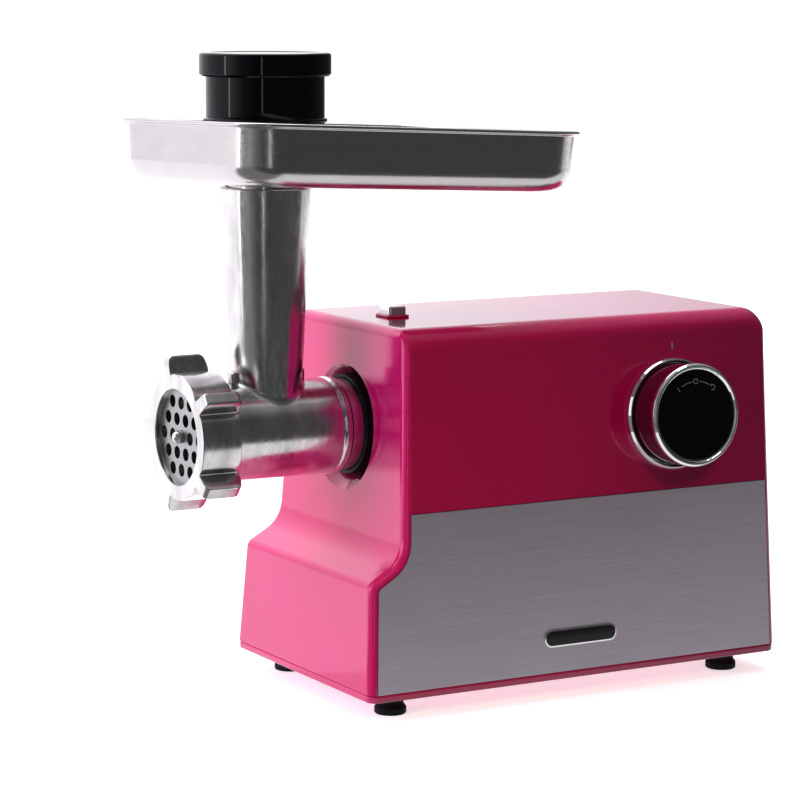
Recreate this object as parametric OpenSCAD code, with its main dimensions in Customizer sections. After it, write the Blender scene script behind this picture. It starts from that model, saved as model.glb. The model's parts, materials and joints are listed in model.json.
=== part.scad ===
// Electric meat grinder: motor housing, gear train, grinding head, feed tray and pusher.
// Millimetres, +Z up. The origin lies on the table, midway between the four feet.
// +X points to the rear of the housing, -X to the outlet, and -Y to the side with the knob.

/* [Housing] */
// Length of the housing at its base seam
body_l = 305.4; // [300:0.1:320]
// Width of the housing at its base seam
body_w = 182; // [176:1:190]
// Width of the housing at its top
top_w = 145; // [140:1:150]
// Height of the top face above the table
top_z = 238; // [236:1:244]
// Height of the base seam above the table
seam_z = 18; // [17:0.5:20]
// Thickness of the moulded walls
wall = 3; // [2.5:0.1:3.2]
// Radius of the top edges along the sides
side_r = 12.5; // [10:0.5:16]
// Radius of the top edge at the rear
rear_r = 13; // [10:0.5:16]
// Width of the band left free round the steel panel
panel_margin = 5; // [4:0.5:8]
// Height of the panel's top edge above the table
panel_top = 126; // [110:1:130]
// Thickness of the steel panel
panel_t = 1; // [0.6:0.1:1.2]

/* [Head] */
// Height of the barrel's axis above the table
axis_z = 171.8; // [170:0.1:174]
// Outer radius of the barrel
barrel_r = 30; // [29.8:0.1:30.4]
// Inner radius of the barrel round the auger
chamber_r = 27; // [26.8:0.1:27.4]
// Distance of the feed tube's axis in front of the origin
tube_ahead = 176.8; // [174:0.1:178]
// Outer radius of the feed tube at its top
tube_top_r = 28.2; // [28:0.1:29]
// Outer radius of the feed tube where it meets the barrel
tube_low_r = 21.8; // [21.5:0.1:22.5]
// Height of the feed tube's rim above the table
tube_top = 323.2; // [320:0.1:328]
// Radius of the cutting plate
plate_r = 31; // [30.8:0.1:31.2]
// Thickness of the cutting plate
plate_t = 5; // [4:0.5:6]
// Diameter of the holes in the cutting plate
plate_hole_d = 8; // [4:0.5:8]
// Distance between neighbouring holes in the cutting plate
plate_pitch = 12; // [10:0.5:12]

/* [Tray and pusher] */
// Length of the tray over its rim
tray_l = 244; // [236:1:248]
// Width of the tray over its rim
tray_w = 195; // [186:1:198]
// Depth of the tray
tray_d = 38.6; // [34:0.1:40]
// Distance of the tray's front rim ahead of the tube axis
tray_front = 63.5; // [60:0.5:66]
// Sheet thickness of the tray
tray_t = 1; // [0.8:0.1:1.2]
// Height of the tray's placing point above the feed tube's rim
tray_rise = 0.8; // [0.8:0.1:1.2]
// Angle by which the loose tray sags towards the rear
tray_sag = 2.65; // [0:0.05:2.65]
// Angle by which the loose tray leans up on the knob side
tray_lean = 1.5; // [0:0.1:1.5]
// Height of the top of the pusher's cap above the table
pusher_top = 405.2; // [403:0.1:408]
// Radius of the pusher's cap
cap_r = 40.6; // [39.5:0.1:41]
// Radius of the pusher's handle
handle_r = 36.5; // [36:0.5:37]

/* [Controls] */
// Distance of the knob's axis behind the origin
knob_x = 76; // [70:1:85]
// Height of the knob's axis on the side wall
knob_z = 174.5; // [165:0.5:178]
// Outer radius of the chrome ring at the knob's foot
bezel_r = 36; // [34:0.5:37]
// Outer radius of the knob
knob_r = 33; // [32.5:0.1:33]
// Distance by which the knob stands out from the side wall
knob_h = 27.5; // [22:0.5:30]
// Distance of the release button ahead of the origin
button_ahead = 86.8; // [84:0.1:90]

/* [Gear train] */
// Teeth on the motor pinion
motor_teeth = 9; // [9:1:9]
// Teeth on the first wheel
wheel_1_teeth = 48; // [48:1:48]
// Teeth on the pinion beside the first wheel
pinion_1_teeth = 11; // [11:1:11]
// Teeth on the second wheel
wheel_2_teeth = 40; // [40:1:40]
// Teeth on the pinion beside the second wheel
pinion_2_teeth = 12; // [12:1:12]
// Teeth on the output wheel
output_teeth = 42; // [42:1:42]

/* [Hidden] */

$fn = 64;
arc_steps = 8;
over = 1;

rear_x = body_l / 2;
front_x = -body_l / 2;
chin_x = front_x + 3.5;
chin_z = seam_z + 67;
waist_x = front_x + 26.8;
waist_z = seam_z + 80.6;
brow_x = front_x + 33.6;
draft = atan((body_w - top_w) / 2 / (top_z - seam_z));

face_x = -122.5;
socket_r = 32;
pan_z = 13;
foot_x = 125.5;
foot_y = 67;
post_x = 110;
post_y = 76;
post_r = 5;
post_h = 26;
rib_l = 12.5;
rib_t = 3;
screw_r = 2;
screw_head_r = 4;

nut_front = -239.3;
nut_lip = 4;
nut_l = 26.5;
nut_r = 39.2;
nut_hole_r = 29.5;
nut_tab_r = 50.5;
nut_tab_w = 8.4;
nut_tabs = 5;
first_tab = 55;
nut_inner_r = 34.7;
plate_x = nut_front + nut_lip + 0.1;
knife_x = plate_x + plate_t + 0.2;
knife_l = 6;
bead_x = -133.8;
neck_r = 29.2;
neck_end = -90;
neck_wall = 4;
auger_r = 8;
auger_end = -78;
tube_x = -tube_ahead;
tube_wall = 3.4;
tube_low_z = axis_z + 16;
thread_r = 34.4;
plunger_r = 18;

knob_y = -(body_w / 2 - (body_w - top_w) / 2 * (knob_z - seam_z) / (top_z - seam_z));
button_x = -button_ahead;

motor_z = seam_z + 57;
stage_1 = 35.6;
stage_3 = 54;
shaft_1_y = 8;
shaft_2_y = 38;
shaft_1 = [shaft_1_y, motor_z + sqrt(stage_1 * stage_1 - shaft_1_y * shaft_1_y)];
shaft_2 = [shaft_2_y, axis_z - sqrt(stage_3 * stage_3 - shaft_2_y * shaft_2_y)];
output = [0, axis_z];
motor = [0, motor_z];
layer_a = [-42, -32];
layer_b = [-56, -44];
layer_c = [-76, -58];
case_front = -83.4;
case_rear = -29;
case_wall = 4;
module_1 = 1.25;
module_2 = 1.5;
module_3 = 2;
shaft_r = 4;
hub_r = 5;
pinion_seat_r = 3;
output_r = 12;
output_rear_r = 8;
bush_gap = 0.05;
bush_r = 7;
output_bush_r = 14;
rear_bush_r = 10;
bearing_r = 11;
bearing_l = 7;

function unit(v) = v / norm(v);

// Points of a fillet of radius r at corner b between its neighbours a and c
function fillet(a, b, c, r) =
    let (u = unit(a - b), v = unit(c - b), half = acos(u * v) / 2, centre = b + unit(u + v) * r / sin(half))
    let (p = b + u * r / tan(half) - centre, q = b + v * r / tan(half) - centre)
    let (start = atan2(p.y, p.x), sweep = (atan2(q.y, q.x) - start + 540) % 360 - 180)
    [for (i = [0:arc_steps]) let (a = start + sweep * i / arc_steps) centre + r * [cos(a), sin(a)]];

// Outline with one fillet radius per corner
function rounded(p, r) =
    let (n = len(p))
    [for (i = [0:n - 1]) each (r[i] == 0 ? [p[i]] : fillet(p[(i + n - 1) % n], p[i], p[(i + 1) % n], r[i]))];

function rounded_rect(x0, x1, y0, y1, r) = rounded([[x0, y0], [x1, y0], [x1, y1], [x0, y1]], [r, r, r, r]);

// Half width of the housing at height z, inset by i
function half_w(z, i = 0) =
    body_w / 2 - (body_w - top_w) / 2 * (z - seam_z) / (top_z - seam_z) - i / cos(draft);

// Side view of the housing, inset by i and reaching down to z0
function side_outline(i, z0) = rounded(
    [[rear_x - i, z0], [front_x + i, z0], [chin_x + i, chin_z - 0.57 * i],
     [waist_x + i, waist_z - 0.57 * i], [brow_x + i, top_z - i], [rear_x - i, top_z - i]],
    [0, 0, 6.5 - min(i, 4), 20 + i, 6.5 - min(i, 4), rear_r - i]);

// Front view of the housing, inset by i and reaching down to z0
function front_outline(i, z0) = rounded(
    [[-half_w(z0, i), z0], [half_w(z0, i), z0], [half_w(top_z - i, i), top_z - i],
     [-half_w(top_z - i, i), top_z - i]],
    [0, 0, side_r - i, side_r - i]);

module along_x(x0, x1) translate([x0, 0, 0]) rotate([90, 0, 90]) linear_extrude(x1 - x0) children();

module along_y(y0, y1) translate([0, y1, 0]) rotate([90, 0, 0]) linear_extrude(y1 - y0) children();

module rod_x(r, x0, x1, at = output) translate([x0, at.x, at.y]) rotate([0, 90, 0])
    cylinder(r = r, h = x1 - x0);

module ring_x(r_out, r_in, x0, x1, at = output) difference() {
    rod_x(r_out, x0, x1, at);
    rod_x(r_in, x0 - over, x1 + over, at);
}

module cone_x(r0, r1, x0, x1) translate([x0, 0, axis_z]) rotate([0, 90, 0])
    cylinder(r1 = r0, r2 = r1, h = x1 - x0);

module block(x0, x1, y0, y1, z0, z1) translate([x0, y0, z0]) cube([x1 - x0, y1 - y0, z1 - z0]);

module four(x, y) for (sx = [-1, 1], sy = [-1, 1]) translate([sx * x, sy * y, 0]) children();

// Places its children on the knob's axis, with +Z pointing out of the side wall
module on_knob_axis() translate([knob_x, knob_y, knob_z]) rotate([90 - draft, 0, 0]) children();

module tray_place() translate([tube_x, 0, tube_top + tray_rise]) rotate([-tray_lean, tray_sag, 0]) children();

// Solid shape of the housing, inset by i and reaching down to z0
module housing_solid(i, z0) intersection() {
    along_y(-body_w, body_w) polygon(side_outline(i, z0));
    along_x(front_x - over, rear_x + over) polygon(front_outline(i, z0));
}

recess_r = 43.4;
recess_l = 11;
vent_rows = 8;
vent_pitch = 7;
vent_z = 92;
vent_w = 3;
vent_l = 64;
gland_z = 44;

// -------- fixed outer pieces

module housing_shell() color("deeppink") difference() {
    union() {
        difference() {
            housing_solid(0, seam_z);
            housing_solid(wall, seam_z - over);
        }
        intersection() {
            housing_solid(0.5, seam_z);
            cone_x(recess_r + wall, 33 + wall, face_x - 4, face_x + 10);
        }
        four(post_x, post_y) translate([0, 0, seam_z]) cylinder(r = post_r, h = post_h);
        four(post_x, post_y + rib_l / 2) translate([-rib_t / 2, -rib_l / 2, seam_z])
            cube([rib_t, rib_l, post_h]);
    }
    cone_x(recess_r, 33, face_x - 4, face_x - 4 + recess_l);
    rod_x(socket_r, face_x - 6, face_x + 12);
    on_knob_axis() translate([0, 0, -8]) cylinder(r = 6, h = 16);
    block(button_x - 6.8, button_x + 6.8, -8.6, 8.6, top_z - 6, top_z + over);
    translate([rear_x - 6, 0, gland_z]) rotate([0, 90, 0]) cylinder(r = 7, h = 8);
    for (i = [0:vent_rows - 1])
        let (z = vent_z + i * vent_pitch)
            block(rear_x - 5, rear_x + over, -vent_l / 2, vent_l / 2, z, z + vent_w);
    four(post_x, post_y) translate([0, 0, seam_z - over]) cylinder(r = screw_r, h = 21);
    panel_skin(1, panel_t + 0.1, -0.2);
    panel_skin(-1, panel_t + 0.1, -0.2);
}

// Skin of the side wall between the panel's edges, t thick, grown at its edges by -i
module panel_skin(side, t, i) intersection() {
    difference() {
        along_x(front_x, rear_x) polygon(front_outline(0, seam_z));
        along_x(front_x - over, rear_x + over) polygon(front_outline(t, seam_z - over));
    }
    along_y(side < 0 ? -body_w : 0, side < 0 ? 0 : body_w) intersection() {
        polygon(side_outline(panel_margin + i, seam_z));
        translate([front_x, seam_z]) square([body_l - 2 - i, panel_top - seam_z - i]);
    }
}

module steel_panel_near() color("silver") panel_skin(-1, panel_t, 0);

module steel_panel_far() color("silver") panel_skin(1, panel_t, 0);

module base_pan() color("deeppink") difference() {
    translate([0, 0, pan_z]) linear_extrude(seam_z - pan_z)
        polygon(rounded_rect(front_x, rear_x, -body_w / 2, body_w / 2, 7));
    translate([0, 0, pan_z + 2.5]) linear_extrude(seam_z)
        difference() {
            polygon(rounded_rect(front_x + wall, rear_x - wall, wall - body_w / 2, body_w / 2 - wall, 5));
            four(post_x, post_y) circle(r = post_r);
            four(foot_x, foot_y) circle(r = 7);
        }
    four(post_x, post_y) translate([0, 0, pan_z - over]) cylinder(r = screw_r, h = 8);
    four(post_x, post_y) translate([0, 0, pan_z - over]) cylinder(r = screw_head_r, h = 3);
    four(foot_x, foot_y) translate([0, 0, pan_z - over]) cylinder(r = screw_r, h = 8);
    for (i = [-5:5]) translate([i * 9 - 1.5, -40, pan_z - over]) cube([3, 80, 6]);
}

module rubber_feet() color("dimgray") four(foot_x, foot_y) rotate_extrude()
    polygon([[screw_r, pan_z], [8.3, pan_z], [8.3, 6.5], [10, 4], [10, 0.8], [9.2, 0],
             [screw_head_r + 0.2, 0], [screw_head_r + 0.2, 4], [screw_r, 4]]);

module foot_screws() color("silver") four(foot_x, foot_y) {
    translate([0, 0, 1.5]) cylinder(r = screw_head_r, h = 2.5);
    translate([0, 0, 4]) cylinder(r = screw_r, h = seam_z - 4.5);
}

module base_screws() color("silver") four(post_x, post_y) {
    translate([0, 0, pan_z + 0.2]) cylinder(r = screw_head_r, h = 1.8);
    translate([0, 0, pan_z + 2]) cylinder(r = screw_r, h = 18);
}

badge_z = 39.5;
badge_y = -half_w(badge_z);

module badge() color("black") translate([0, badge_y, badge_z]) rotate([90 - draft, 0, 0])
    linear_extrude(0.8) polygon(rounded_rect(-27, 27, -5.5, 5.5, 5.4));

mark_z = 217.8;

module index_mark() color("white") translate([knob_x + 1.4, -half_w(mark_z), mark_z])
    rotate([90 - draft, 0, 0]) linear_extrude(0.3) square([1.2, 4.6], center = true);

module knob_bezel() color("silver") on_knob_axis() rotate_extrude()
    polygon([[6.5, 0], [bezel_r, 0], [bezel_r, 3], [bezel_r - 1.2, 4.6], [bezel_r - 2.2, 4.6],
             [bezel_r - 2.2, 1.4], [6.5, 1.4]]);

module button_bezel() color("deeppink") difference() {
    translate([button_x, 0, top_z]) linear_extrude(1.6) polygon(rounded_rect(-8, 8, -9.75, 9.75, 3));
    translate([button_x, 0, top_z - over]) linear_extrude(4) polygon(rounded_rect(-6.6, 6.6, -8.4, 8.4, 2.2));
}

module cord_gland() color("dimgray") translate([rear_x - wall, 0, gland_z]) rotate([0, 90, 0]) difference() {
    union() {
        cylinder(r = 6.8, h = wall + 0.2);
        translate([0, 0, wall]) cylinder(r = 9, h = 2);
        translate([0, 0, -3]) cylinder(r = 9, h = 3);
    }
    translate([0, 0, -4]) cylinder(r = 3.8, h = 10);
}

// -------- fixed inner pieces

// Outline of the gearbox, scaled by k about its middle
function case_outline(k) =
    let (p = [[-49.5, 221], [48, 221], [76, 150], [75, 98], [38, 57], [-26, 57], [-49.5, 120]])
    let (c = [8, 142])
    rounded([for (q = p) c + (q - c) * k], [16, 16, 16, 16, 12, 12, 20] * k);

case_bolts = [[-39, 211], [44, 207], [60, 96], [-25, 79]];

module gearbox_case() color("gainsboro") difference() {
    along_x(case_front, case_rear) polygon(case_outline(1));
    along_x(case_front + case_wall, case_rear + over) difference() {
        polygon(case_outline(0.93));
        for (b = case_bolts) translate(b) circle(r = 5);
    }
    rod_x(output_bush_r, case_front - over, case_front + case_wall + over);
    for (s = [shaft_1, shaft_2]) rod_x(bush_r, case_front - over, case_front + case_wall + over, s);
    for (b = case_bolts) rod_x(screw_r, case_rear - 14, case_rear + over, b);
}

module gearbox_cover() color("gainsboro") difference() {
    along_x(case_rear, case_rear + case_wall) polygon(case_outline(1));
    rod_x(rear_bush_r, case_rear - over, case_rear + case_wall + over);
    for (s = [shaft_1, shaft_2]) rod_x(bush_r, case_rear - over, case_rear + case_wall + over, s);
    rod_x(bearing_r, case_rear - over, case_rear + case_wall + over, motor);
    for (b = case_bolts) rod_x(screw_r, case_rear - over, case_rear + case_wall + over, b);
}

module gearbox_screws() color("silver") for (b = case_bolts) {
    rod_x(screw_r, case_rear - 12, case_rear + case_wall, b);
    rod_x(screw_head_r, case_rear + case_wall, case_rear + case_wall + 2.5, b);
}

module shaft_bushes() color("peru") {
    ring_x(output_bush_r, output_r + bush_gap, case_front, case_front + case_wall);
    ring_x(rear_bush_r, output_rear_r + bush_gap, case_rear, case_rear + case_wall);
    for (s = [shaft_1, shaft_2], x = [case_front, case_rear])
        ring_x(bush_r, shaft_r + bush_gap, x, x + case_wall, s);
}

module head_socket() color("dimgray") difference() {
    union() {
        rod_x(35, face_x + 17, case_front);
        rod_x(44, case_front - 4, case_front);
    }
    rod_x(neck_r + 0.1, face_x + 16, case_front + over);
    block(case_front - 4 - over, case_front + over, -stem_w, stem_w, stem_foot - button_travel - 1, top_z);
}

stator_x = [4, 56];
stator_bolt = [36, 28];
stator_bolt_r = 2.5;
bracket_x = 92;

function stator_post(side) = motor + [side * stator_bolt.x, stator_bolt.y];

module motor_stator() color("lightslategray") difference() {
    along_x(stator_x[0], stator_x[1]) polygon(rounded_rect(-42, 42, motor_z - 36, motor_z + 36, 12));
    rod_x(30, stator_x[0] - over, stator_x[1] + over, motor);
    for (s = [-1, 1])
        rod_x(stator_bolt_r, stator_x[0] - over, stator_x[1] + over, stator_post(s));
}

module field_windings() color("peru") for (s = [-1, 1]) intersection() {
    ring_x(29.8, 25, -6, 66, motor);
    block(-6, 66, -20, 20, s > 0 ? motor_z + 12 : motor_z - 31, s > 0 ? motor_z + 31 : motor_z - 12);
}

module motor_bracket() color("gainsboro") difference() {
    union() {
        along_x(bracket_x, bracket_x + 3) polygon(rounded_rect(-40, 40, motor_z - 34, motor_z + 34, 8));
        rod_x(14, bracket_x, bracket_x + 11, motor);
        for (s = [-1, 1]) {
            rod_x(5, stator_x[1], bracket_x, stator_post(s));
            block(bracket_x - 4, bracket_x + 3, s * 28 - 5, s * 28 + 5, pan_z + 2.5, motor_z - 30);
        }
    }
    rod_x(bearing_r, bracket_x - over, bracket_x + 12, motor);
    for (s = [-1, 1])
        rod_x(stator_bolt_r, stator_x[1] - over, bracket_x + 4, stator_post(s));
}

module motor_bearings() color("silver")
    for (x = [case_rear, bracket_x + 3]) ring_x(bearing_r, shaft_r + bush_gap, x, x + bearing_l, motor);

module brush_holders() color("darkgoldenrod") for (s = [-1, 1])
    block(70, 80, s > 0 ? 12.4 : -30, s > 0 ? 30 : -12.4, motor_z - 5, motor_z + 5);

module rotary_switch() color("dimgray") on_knob_axis() difference() {
    translate([-14, -14, -30]) cube([28, 28, 26.5]);
    translate([0, 0, -20]) cylinder(r = 3.05, h = 30);
}

button_travel = 4;
stem_l = 6;
stem_w = 4;
stem_foot = top_z - 24;
stem_gap = 0.4;

module latch_guide() color("dimgray") difference() {
    union() {
        block(button_x - 10, button_x + 10, -12, 12, top_z - 16, top_z - 14);
        for (s = [-1, 1])
            block(button_x - 10, button_x + 10, s * 11 - 1, s * 11 + 1, top_z - 14, top_z - wall);
    }
    block(button_x - stem_l / 2 - stem_gap, button_x + stem_l / 2 + stem_gap,
          -stem_w - stem_gap, stem_w + stem_gap, top_z - 17, top_z - 13);
}

// -------- motor rotor

module motor_shaft() color("silver") {
    rod_x(pinion_seat_r, layer_a[0] - 2, layer_a[1], motor);
    rod_x(shaft_r, layer_a[1], bracket_x + 12, motor);
}

module armature() color("peru") difference() {
    union() {
        for (a = [0:30:330]) translate([0, 0, motor_z]) rotate([a, 0, 0]) translate([0, 0, -motor_z])
            block(6, 54, -4.6, 4.6, motor_z + 12, motor_z + 24);
        rod_x(20, 6, 54, motor);
        rod_x(21, 0, 60, motor);
    }
    rod_x(shaft_r, -over, 61, motor);
}

module commutator() color("darkgoldenrod") ring_x(12, shaft_r, 64, 86, motor);

fan_blades = 9;

module cooling_fan() color("black") difference() {
    union() {
        rod_x(9, -20, -10, motor);
        rod_x(27, -12, -10, motor);
        for (i = [0:fan_blades - 1]) translate([0, 0, motor_z]) rotate([i * 360 / fan_blades, 0, 0])
            translate([-20, -0.8, 8]) cube([8.5, 1.6, 19]);
    }
    rod_x(shaft_r, -21, -9, motor);
}

// -------- gears

flank_steps = 3;
flank_relief = 0.12;
pressure = 20;

function involute(a) = tan(a) * 180 / PI - a;

// Half angle of a tooth at radius r, for module m and n teeth
function tooth_half(m, n, r) =
    let (base = m * n / 2 * cos(pressure))
    90 / n - flank_relief * 180 / PI * 2 / n + involute(pressure) - (r > base ? involute(acos(base / r)) : 0);

// Outline of a gear, with its first tooth turned to the angle at
function gear_outline(m, n, top, root, at) =
    let (r0 = m * n / 2 - root * m, r1 = m * n / 2 + top * m)
    [for (i = [0:n - 1], s = [-1, 1], j = [0:flank_steps])
        let (k = s < 0 ? j : flank_steps - j, r = r0 + (r1 - r0) * k / flank_steps)
        let (a = at + i * 360 / n + s * tooth_half(m, n, r))
        r * [cos(a), sin(a)]];

// Gear between x0 and x1 on the shaft at p, bored to radius bore
module gear(m, n, top, root, at, x0, x1, p, bore) difference() {
    along_x(x0, x1) translate(p) polygon(gear_outline(m, n, top, root, at));
    rod_x(bore, x0 - over, x1 + over, p);
}

function heading(a, b) = atan2(b.y - a.y, b.x - a.x);

wheel_top = 0.8;
pinion_top = 0.9;
root_depth = 1.35;
mesh_1 = heading(motor, shaft_1);
mesh_2 = heading(shaft_1, shaft_2);
mesh_3 = heading(shaft_2, output);

module motor_pinion() color("silver")
    gear(module_1, motor_teeth, pinion_top, root_depth, mesh_1, layer_a[0], layer_a[1], motor,
         pinion_seat_r);

module wheel_1() color("ivory")
    gear(module_1, wheel_1_teeth, wheel_top, root_depth, mesh_1 + 180 + 180 / wheel_1_teeth, layer_a[0],
         layer_a[1], shaft_1, hub_r);

module pinion_shaft_1() color("silver") {
    along_x(layer_b[0], layer_b[1]) translate(shaft_1)
        polygon(gear_outline(module_2, pinion_1_teeth, pinion_top, root_depth, mesh_2));
    rod_x(hub_r, layer_b[1], layer_a[1] + 2, shaft_1);
    rod_x(shaft_r, case_front + 0.5, layer_b[0], shaft_1);
    rod_x(shaft_r, layer_a[1] + 2, case_rear + case_wall - 0.5, shaft_1);
}

module wheel_2() color("ivory")
    gear(module_2, wheel_2_teeth, wheel_top, root_depth, mesh_2 + 180 + 180 / wheel_2_teeth, layer_b[0],
         layer_b[1], shaft_2, hub_r);

module pinion_shaft_2() color("silver") {
    along_x(layer_c[0], layer_c[1]) translate(shaft_2)
        polygon(gear_outline(module_3, pinion_2_teeth, pinion_top, root_depth, mesh_3));
    rod_x(hub_r, layer_c[1], layer_b[1] + 2, shaft_2);
    rod_x(shaft_r, case_front + 0.5, layer_c[0], shaft_2);
    rod_x(shaft_r, layer_b[1] + 2, case_rear + case_wall - 0.5, shaft_2);
}

module output_wheel() color("ivory")
    gear(module_3, output_teeth, wheel_top, root_depth, mesh_3 + 180 + 180 / output_teeth, layer_c[0],
         layer_c[1], output, output_r);

hex_gap = 0.25;
hex_r = 7.4;

module output_shaft() color("silver") difference() {
    union() {
        rod_x(output_r, neck_end + 2, layer_c[1] + 2);
        rod_x(output_rear_r, layer_c[1] + 2, case_rear + case_wall - 0.5);
    }
    rod_hex(hex_r + hex_gap, neck_end + over, auger_end + 2);
}

module rod_hex(r, x0, x1) translate([x0, 0, axis_z]) rotate([0, 90, 0]) cylinder(r = r, h = x1 - x0, $fn = 6);

// -------- release button

module release_button() color("silver") translate([button_x, 0, 0]) {
    translate([0, 0, top_z - 3]) linear_extrude(9) polygon(rounded_rect(-6.2, 6.2, -8, 8, 2));
    translate([0, 0, top_z + 6]) linear_extrude(1) polygon(rounded_rect(-5.2, 5.2, -7, 7, 1.6));
}

module latch_stem() color("dimgray") {
    block(button_x - stem_l / 2, button_x + stem_l / 2, -stem_w, stem_w, stem_foot, top_z - wall);
    block(face_x + 13, button_x - stem_l / 2, -stem_w, stem_w, stem_foot, stem_foot + 3);
}

spring_base = top_z - 14;
spring_l = 11;
spring_turns = 4;

module button_spring() color("silver") translate([button_x, 0, spring_base])
    linear_extrude(spring_l, twist = -360 * spring_turns, slices = 64, $fn = 6)
    translate([5.4, 0]) circle(r = 0.5, $fn = 6);

// -------- knob

module knob_body() color("darkred") on_knob_axis() difference() {
    union() {
        translate([0, 0, 2]) cylinder(r = knob_r - 0.8, h = knob_h - 5);
        translate([0, 0, 1.8]) cylinder(r = 12, h = 0.2);
    }
    translate([0, 0, 5]) difference() {
        cylinder(r = knob_r - 3.5, h = knob_h);
        cylinder(r = 8, h = knob_h - 12);
    }
    translate([0, 0, 1]) cylinder(r = 3, h = knob_h - 12);
}

module knob_ring() color("silver") on_knob_axis() translate([0, 0, knob_h - 3]) rotate_extrude()
    polygon([[knob_r - 3.6, 0], [knob_r, 0], [knob_r, 2], [knob_r - 1, 3], [knob_r - 2.4, 3],
             [knob_r - 2.7, 2], [knob_r - 3.6, 1]]);

module knob_face() color("black") on_knob_axis() translate([0, 0, knob_h - 3.5]) rotate_extrude()
    polygon([[0, 0], [knob_r - 3.7, 0], [knob_r - 3.7, 1.6], [knob_r - 4.6, 2.6], [0, 3]]);

module knob_shaft() color("gainsboro") on_knob_axis() translate([0, 0, -18]) cylinder(r = 3, h = knob_h + 6);

// -------- grinding head

module lock_collar() color("black") {
    ring_x(socket_r - 0.5, neck_r + 0.4, face_x + 0.2, face_x + 16.5);
    ring_x(35.5, socket_r - 0.5, face_x + 10.6, face_x + 14);
}

module head_casting() color("lightgray") difference() {
    union() {
        rod_x(thread_r, plate_x + 0.3, nut_front + nut_l - 2);
        cone_x(thread_r, barrel_r, nut_front + nut_l - 2, nut_front + nut_l + 3);
        rod_x(barrel_r, nut_front + nut_l - 2, bead_x + 2);
        rod_x(neck_r, bead_x, neck_end);
        ring_x(barrel_r + 1, barrel_r - 2, bead_x - 1.7, bead_x + 1.7);
        translate([tube_x, 0, axis_z]) cylinder(r = tube_low_r, h = 24);
        translate([tube_x, 0, tube_low_z])
            cylinder(r1 = tube_low_r, r2 = tube_top_r, h = tube_top - tube_low_z);
    }
    rod_x(plate_r + 0.1, plate_x - 2, plate_x + plate_t + 0.1);
    rod_x(chamber_r, plate_x, bead_x - 6);
    rod_x(20, bead_x - 7, neck_end - neck_wall);
    rod_x(11, neck_end - neck_wall - over, neck_end + over);
    translate([tube_x, 0, axis_z]) cylinder(r = tube_low_r - tube_wall, h = 24);
    translate([tube_x, 0, tube_low_z])
        cylinder(r1 = tube_low_r - tube_wall, r2 = tube_top_r - tube_wall, h = tube_top - tube_low_z + 0.01);
    block(plate_x - over, plate_x + plate_t, -2, 2, axis_z + plate_r - 2, axis_z + plate_r + 2);
}

module rear_bush() color("white") ring_x(11, auger_r + bush_gap, neck_end - neck_wall, neck_end);

flight_r = 26.4;
flight_w = 5;
flight_start = knife_x + knife_l;
flight_end = bead_x - 8;
flight_turns = 3;

module auger() color("silver") {
    translate([flight_start, 0, axis_z]) rotate([0, 90, 0])
        linear_extrude(flight_end - flight_start, twist = -360 * flight_turns, slices = 72, $fn = 12)
        union() {
            circle(r = 10, $fn = 12);
            translate([0, -flight_w / 2]) square([flight_r, flight_w]);
        }
    rod_x(10, flight_end, neck_end - neck_wall - 1);
    rod_x(auger_r, neck_end - neck_wall - 1, neck_end);
    rod_hex(hex_r, neck_end, auger_end);
    rod_x(4, nut_front + 2, flight_start);
    translate([nut_front + 2, 0, axis_z]) sphere(r = 4);
}

knife_blades = 4;

module knife() color("silver") difference() {
    union() {
        rod_x(9, knife_x, knife_x + knife_l);
        for (i = [0:knife_blades - 1]) translate([knife_x, 0, axis_z]) rotate([i * 360 / knife_blades, 0, 0])
            translate([0, -3.5, 6]) cube([3, 7, 20]);
    }
    rod_x(4, knife_x - over, knife_x + knife_l + over);
}

// Rows of a hexagonal hole pattern: [row, first column, holes]
plate_rows = [[-2, -1, 3], [-1, -1.5, 4], [0, -2, 5], [1, -1.5, 4], [2, -1, 3]];

module cutting_plate() color("silver") difference() {
    rod_x(plate_r, plate_x, plate_x + plate_t);
    for (row = plate_rows, i = [0:row[2] - 1])
        let (y = (row[1] + i) * plate_pitch, z = row[0] * plate_pitch * sin(60))
        if (abs(y) + abs(z) > 1)
            rod_x(plate_hole_d / 2, plate_x - over, plate_x + plate_t + over, output + [y, z]);
    rod_x(4.3, plate_x - over, plate_x + plate_t + over);
}

module ring_nut() color("lightgray") difference() {
    union() {
        rod_x(nut_r, nut_front, nut_front + nut_l);
        for (i = [0:nut_tabs - 1]) translate([0, 0, axis_z]) rotate([first_tab + i * 360 / nut_tabs, 0, 0])
            translate([0, nut_tab_w / 2, 0]) rotate([90, 0, 0]) linear_extrude(nut_tab_w)
            polygon([[nut_front + 0.5, nut_r - 3], [nut_front + 2, nut_tab_r - 4], [nut_front + 6, nut_tab_r],
                     [nut_front + nut_l - 6, nut_tab_r], [nut_front + nut_l - 1, nut_tab_r - 5],
                     [nut_front + nut_l - 1, nut_r - 3]]);
    }
    rod_x(nut_hole_r, nut_front - over, nut_front + nut_l);
    rod_x(nut_inner_r, nut_front + nut_lip, nut_front + nut_l + over);
}

// -------- tray and pusher

slice = 0.1;
lip_h = 2.5;
lip_r = 33;
tray_foot = 0.9;
throat_r = 23.6;
throat_l = 10;
throat_up = 2;

function tray_outline(i, r) =
    rounded_rect(i - tray_front, tray_l - tray_front - i, i - tray_w / 2, tray_w / 2 - i, r);

// One thin slice of the pan at height z
module tray_slice(z, inset, r) translate([0, 0, z]) linear_extrude(slice) polygon(tray_outline(inset, r));

// Pan of the tray, inset by i, with its floor at z0
module tray_pan(i, z0) hull() {
    tray_slice(z0, 14 + i, lip_r - 10);
    tray_slice(z0 + 5, 6 + i, lip_r - 5);
    tray_slice(14, 3 + i, lip_r - 2);
    tray_slice(tray_d + i - slice, 1.6 + i, lip_r - 1);
}

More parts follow.
